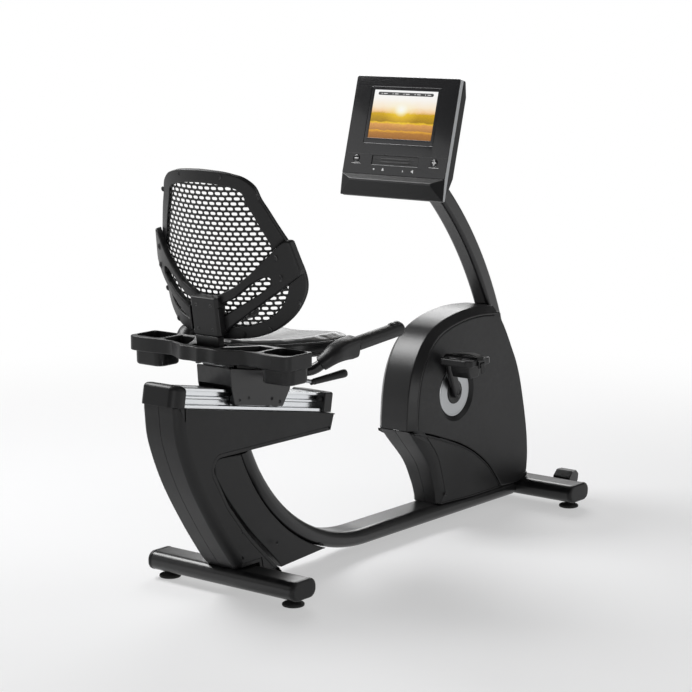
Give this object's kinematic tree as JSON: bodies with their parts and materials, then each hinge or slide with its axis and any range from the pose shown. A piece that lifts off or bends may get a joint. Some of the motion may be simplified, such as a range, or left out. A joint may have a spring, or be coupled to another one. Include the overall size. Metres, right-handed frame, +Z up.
{
  "type": "exercise bike",
  "caption": "Recumbent exercise bike with a sliding mesh-back seat on an inclined rail, a shrouded crank drive and a tilting console.",
  "frame": {"origin": "bottom centre of the whole bike's box, on the floor", "axes": "+X the rider's forward direction, +Y the rider's left, +Z up"},
  "size_m": [1.6588, 0.548, 1.2922],
  "materials": {
    "frame_paint": "satin black powder coat with a fine orange-peel texture",
    "black_plastic": "black moulded plastic with a fine leather-like grain",
    "cover_plastic": "charcoal moulded covers, satin, very fine grain",
    "rubber": "matte black rubber and foam",
    "rail_aluminium": "bright extruded aluminium with fine lines along it",
    "disc_chrome": "spun bright metal disc",
    "inner_steel": "machined steel",
    "seat_vinyl": "black upholstery vinyl with a soft sheen",
    "back_mesh": "flexible black moulded mesh",
    "console_gloss": "gloss black panel"
  },
  "bodies": {
    "root": {"rear_foot": "frame_paint", "front_foot": "frame_paint", "main_tube": "frame_paint", "mast": "frame_paint", "rear_frame": "frame_paint", "drive_frame": "frame_paint", "rear_foot_cap_left": "black_plastic", "rear_foot_cap_right": "black_plastic", "front_foot_cap_left": "black_plastic", "front_foot_cap_right": "black_plastic", "rear_filler": "black_plastic", "rail_cap_rear": "black_plastic", "rail_cap_front": "black_plastic", "crown_cover": "black_plastic", "rear_cover_left": "cover_plastic", "rear_cover_right": "cover_plastic", "shroud_left": "cover_plastic", "shroud_right": "cover_plastic", "lower_cover_left": "cover_plastic", "lower_cover_right": "cover_plastic", "drive_belt": "rubber", "seat_rail": "rail_aluminium"},
    "seat": {"carriage": "frame_paint", "tray": "black_plastic", "back_post": "frame_paint", "back_bracket": "black_plastic", "back_frame": "black_plastic", "back_mesh": "back_mesh", "seat_pan": "frame_paint", "seat_cushion": "seat_vinyl", "handlebar": "frame_paint", "handle_cover_left": "black_plastic", "handle_cover_right": "black_plastic", "grip_left": "rubber", "grip_right": "rubber"},
    "crank": {"crank_axle": "inner_steel", "crank_left": "black_plastic", "crank_right": "black_plastic", "crank_disc_left": "disc_chrome", "crank_disc_right": "disc_chrome"},
    "console": {"console_housing": "black_plastic", "console_face": "console_gloss"},
    "leveler_rear_left": {"leveler_rear_left": "rubber"},
    "leveler_rear_right": {"leveler_rear_right": "rubber"},
    "leveler_front_left": {"leveler_front_left": "rubber"},
    "leveler_front_right": {"leveler_front_right": "rubber"},
    "transport_wheel_left": {"transport_wheel_left": "rubber"},
    "transport_wheel_right": {"transport_wheel_right": "rubber"},
    "roller_rear_left": {"roller_rear_left": "black_plastic"},
    "roller_rear_right": {"roller_rear_right": "black_plastic"},
    "roller_front_left": {"roller_front_left": "black_plastic"},
    "roller_front_right": {"roller_front_right": "black_plastic"},
    "lock_lever": {"lock_lever": "black_plastic"},
    "rail_lock": {"rail_lock": "inner_steel"},
    "pedal_left": {"pedal_left": "black_plastic"},
    "pedal_right": {"pedal_right": "black_plastic"},
    "flywheel": {"flywheel": "inner_steel"},
    "magnet_brake": {"magnet_brake": "inner_steel"},
    "button_minus": {"button_minus": "console_gloss"},
    "button_plus": {"button_plus": "console_gloss"}
  },
  "joints": [
    {"name": "leveler_rear_left_screw", "type": "slide", "parent": "root", "child": "leveler_rear_left", "axis": [0, 0, 1], "range_m": [-0.012, 0]},
    {"name": "leveler_rear_right_screw", "type": "slide", "parent": "root", "child": "leveler_rear_right", "axis": [0, 0, 1], "range_m": [-0.012, 0]},
    {"name": "leveler_front_left_screw", "type": "slide", "parent": "root", "child": "leveler_front_left", "axis": [0, 0, 1], "range_m": [-0.012, 0]},
    {"name": "leveler_front_right_screw", "type": "slide", "parent": "root", "child": "leveler_front_right", "axis": [0, 0, 1], "range_m": [-0.012, 0]},
    {"name": "transport_wheel_left_spin", "type": "hinge", "parent": "root", "child": "transport_wheel_left", "pos_m": [0.80774, 0, 0.068], "axis": [0, 1, 0], "continuous": true},
    {"name": "transport_wheel_right_spin", "type": "hinge", "parent": "root", "child": "transport_wheel_right", "pos_m": [0.80774, 0, 0.068], "axis": [0, 1, 0], "continuous": true},
    {"name": "seat_slide", "type": "slide", "parent": "root", "child": "seat", "axis": [0.9848, 0, -0.1736], "range_m": [-0.15, 0.135]},
    {"name": "roller_rear_left_roll", "type": "hinge", "parent": "seat", "child": "roller_rear_left", "pos_m": [-0.57845, 0, 0.51275], "axis": [0, 1, 0], "range_deg": [-540, 486]},
    {"name": "roller_rear_right_roll", "type": "hinge", "parent": "seat", "child": "roller_rear_right", "pos_m": [-0.57845, 0, 0.51275], "axis": [0, 1, 0], "range_deg": [-540, 486]},
    {"name": "roller_front_left_roll", "type": "hinge", "parent": "seat", "child": "roller_front_left", "pos_m": [-0.42285, 0, 0.48532], "axis": [0, 1, 0], "range_deg": [-540, 486]},
    {"name": "roller_front_right_roll", "type": "hinge", "parent": "seat", "child": "roller_front_right", "pos_m": [-0.42285, 0, 0.48532], "axis": [0, 1, 0], "range_deg": [-540, 486]},
    {"name": "lock_lever_lift", "type": "hinge", "parent": "seat", "child": "lock_lever", "pos_m": [-0.45026, 0, 0.556], "axis": [0, -1, 0], "range_deg": [0, 20], "stiffness_Nm_per_rad": 1.5, "springref_deg": -17.19},
    {"name": "rail_lock_lift", "type": "slide", "parent": "seat", "child": "rail_lock", "axis": [0.1736, 0, 0.9848], "range_m": [0, 0.005]},
    {"name": "crank_spin", "type": "hinge", "parent": "root", "child": "crank", "pos_m": [0.35374, 0, 0.391], "axis": [0, 1, 0], "continuous": true},
    {"name": "pedal_left_spin", "type": "hinge", "parent": "crank", "child": "pedal_left", "pos_m": [0.42263, 0, 0.28075], "axis": [0, 1, 0], "continuous": true},
    {"name": "pedal_right_spin", "type": "hinge", "parent": "crank", "child": "pedal_right", "pos_m": [0.28485, 0, 0.50125], "axis": [0, 1, 0], "continuous": true},
    {"name": "flywheel_spin", "type": "hinge", "parent": "root", "child": "flywheel", "pos_m": [0.52674, 0, 0.215], "axis": [0, 1, 0], "continuous": true},
    {"name": "magnet_brake_swing", "type": "hinge", "parent": "root", "child": "magnet_brake", "pos_m": [0.62176, 0, 0.32053], "axis": [0, 1, 0], "range_deg": [0, 8]},
    {"name": "console_tilt", "type": "hinge", "parent": "root", "child": "console", "pos_m": [0.22484, 0, 1.05577], "axis": [0, 1, 0], "range_deg": [-10, 10]},
    {"name": "button_minus_press", "type": "slide", "parent": "console", "child": "button_minus", "axis": [0.9655, 0, -0.2605], "range_m": [0, 0.0008], "stiffness_N_per_m": 400, "springref_m": -0.002},
    {"name": "button_plus_press", "type": "slide", "parent": "console", "child": "button_plus", "axis": [0.9655, 0, -0.2605], "range_m": [0, 0.0008], "stiffness_N_per_m": 400, "springref_m": -0.002}
  ],
  "couplings": [
    {"joint": "roller_rear_left_roll", "follows": "seat_slide", "rad_per_m": 62.5},
    {"joint": "roller_rear_right_roll", "follows": "seat_slide", "rad_per_m": 62.5},
    {"joint": "roller_front_left_roll", "follows": "seat_slide", "rad_per_m": 62.5},
    {"joint": "roller_front_right_roll", "follows": "seat_slide", "rad_per_m": 62.5},
    {"joint": "rail_lock_lift", "follows": "lock_lever_lift", "m_per_rad": 0.014},
    {"joint": "flywheel_spin", "follows": "crank_spin", "ratio": 5.5}
  ]
}
